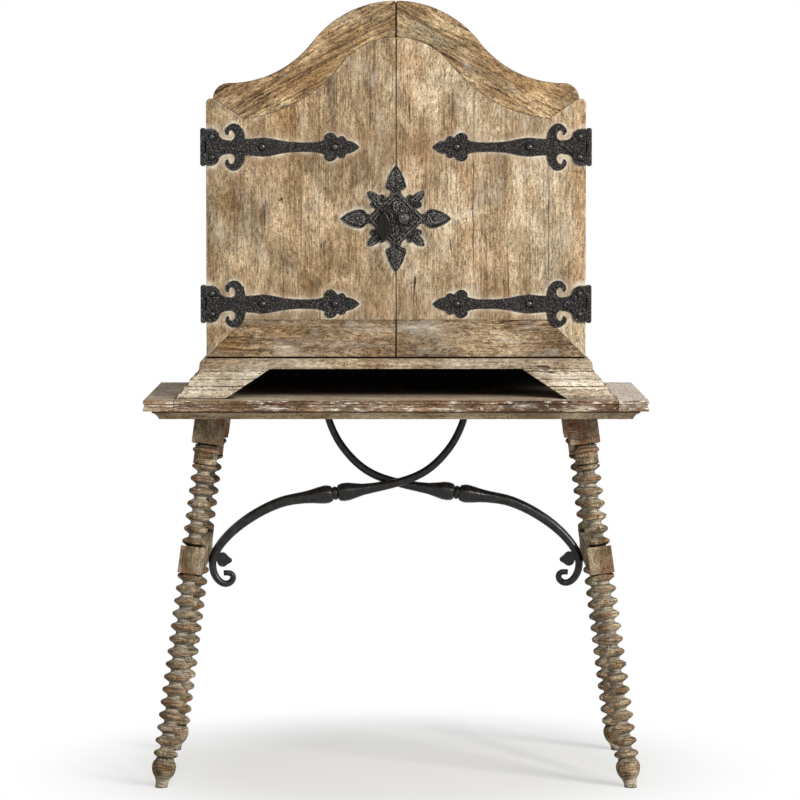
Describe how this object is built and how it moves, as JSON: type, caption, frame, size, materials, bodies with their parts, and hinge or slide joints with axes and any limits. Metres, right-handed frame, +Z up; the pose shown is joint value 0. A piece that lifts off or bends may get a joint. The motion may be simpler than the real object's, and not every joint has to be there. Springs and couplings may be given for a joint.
{
  "type": "vargueno cabinet on stand",
  "caption": "Wooden cabinet with an ogee crest and iron strap-hinged double doors, standing on a table with splayed, spool-turned legs and crossed scroll braces.",
  "frame": {"origin": "on the floor under the middle of the table-top", "axes": "+X to the viewer's right along the doors, +Y from the doors to the back, +Z up"},
  "size_m": [1.044, 0.56, 1.639],
  "materials": {
    "table_oak": "worn, waxed, with white paint left in the hollows",
    "leg_wood": "dry, limed in the hollows, worn to the wood on the rings",
    "moulding_wood": "dry, with white paint left in the steps",
    "case_wood": "dry and unpolished",
    "door_wood": "bleached and open-grained, with worm holes and cracks",
    "pin_wood": "plain",
    "hinge_iron": "black-brown, hammered",
    "stud_iron": "black, worn bright on the domes",
    "brace_iron": "dark grey, smooth satin",
    "boss_steel": "dull and rubbed",
    "plate_steel": "plain",
    "magnet_iron": "plain"
  },
  "bodies": {
    "cabinet": {"arch_rail": "case_wood", "base_moulding": "moulding_wood", "brace_front": "brace_iron", "brace_rear": "brace_iron", "brace_screws": "stud_iron", "carcass_back": "case_wood", "carcass_floor": "case_wood", "carcass_side_left": "case_wood", "carcass_side_right": "case_wood", "case_hinge_leaves": "hinge_iron", "chest_foot_front_left": "moulding_wood", "chest_foot_front_right": "moulding_wood", "chest_foot_rear_left": "moulding_wood", "chest_foot_rear_right": "moulding_wood", "door_magnets": "magnet_iron", "hinge_pins": "stud_iron", "leaf_screws": "stud_iron", "leg_cleat_left": "leg_wood", "leg_cleat_right": "leg_wood", "leg_front_left": "leg_wood", "leg_front_right": "leg_wood", "leg_rear_left": "leg_wood", "leg_rear_right": "leg_wood", "plinth_back": "case_wood", "roof_left": "case_wood", "roof_right": "case_wood", "shelf_lower": "case_wood", "shelf_pins": "pin_wood", "shelf_upper": "case_wood", "side_stretcher_left": "leg_wood", "side_stretcher_right": "leg_wood", "table_end_left": "table_oak", "table_end_right": "table_oak", "table_moulding": "table_oak", "table_plank_front": "table_oak", "table_plank_middle": "table_oak", "table_plank_rear": "table_oak"},
    "left_door": {"left_bottom_rail": "door_wood", "left_crest_rail": "door_wood", "left_hinge_plates": "hinge_iron", "left_lock_plate": "hinge_iron", "left_plank_inner": "door_wood", "left_plank_outer": "door_wood", "left_stile": "door_wood", "left_straps": "hinge_iron", "left_strike_plate": "plate_steel", "left_studs": "stud_iron", "pull_bracket": "hinge_iron"},
    "right_door": {"right_bottom_rail": "door_wood", "right_crest_rail": "door_wood", "right_hinge_plates": "hinge_iron", "right_lock_plate": "hinge_iron", "right_plank_inner": "door_wood", "right_plank_outer": "door_wood", "right_stile": "door_wood", "right_straps": "hinge_iron", "right_strike_plate": "plate_steel", "right_studs": "stud_iron", "lock_boss": "boss_steel"},
    "pull": {"drop_pull": "hinge_iron"}
  },
  "joints": [
    {"name": "left_door_hinge", "type": "hinge", "parent": "cabinet", "child": "left_door", "pos_m": [-0.402, -0.183, 1], "axis": [0, 0, -1], "range_deg": [0, 180]},
    {"name": "right_door_hinge", "type": "hinge", "parent": "cabinet", "child": "right_door", "pos_m": [0.402, -0.183, 1], "axis": [0, 0, 1], "range_deg": [0, 180]},
    {"name": "pull_hinge", "type": "hinge", "parent": "left_door", "child": "pull", "pos_m": [-0.0245, -0.1965, 1.207], "axis": [-1, 0, 0], "range_deg": [0, 170]}
  ]
}
